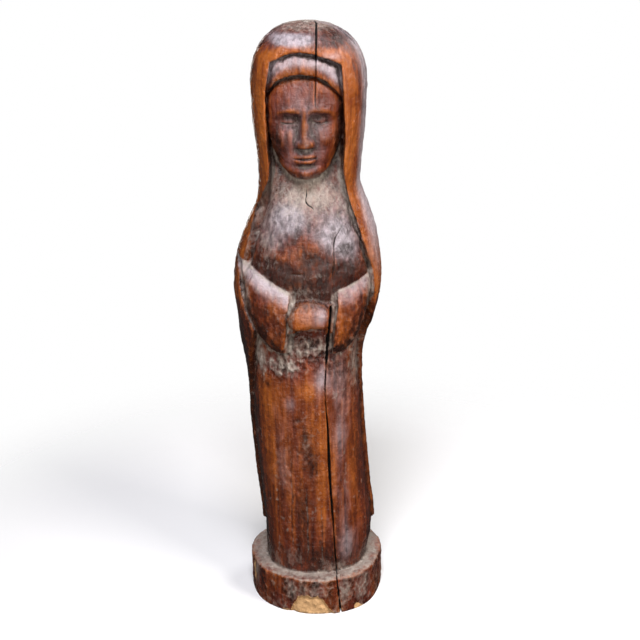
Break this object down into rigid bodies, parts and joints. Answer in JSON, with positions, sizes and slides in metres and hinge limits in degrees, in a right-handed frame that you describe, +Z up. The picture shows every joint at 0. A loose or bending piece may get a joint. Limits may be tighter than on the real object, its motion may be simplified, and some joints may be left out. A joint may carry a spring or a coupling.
{
  "type": "wooden saint statue",
  "caption": "Carved standing saint in a hooded mantle, hands joined before the waist, cut with its low round plinth from one log split by a long drying crack.",
  "frame": {"origin": "centre of the plinth's flat underside, on the floor", "axes": "+Z up from the plinth to the crown of the hood, -Y the way the saint faces, +X to the viewer's right"},
  "size_m": [0.2195, 0.2078, 0.9],
  "materials": {
    "carved_wood": "stained and waxed hardwood, worn orange on the high places, grey dust in the hollows, raw wood at the plinth's chips"
  },
  "bodies": {
    "root": {"carved_figure": "carved_wood"}
  },
  "joints": []
}
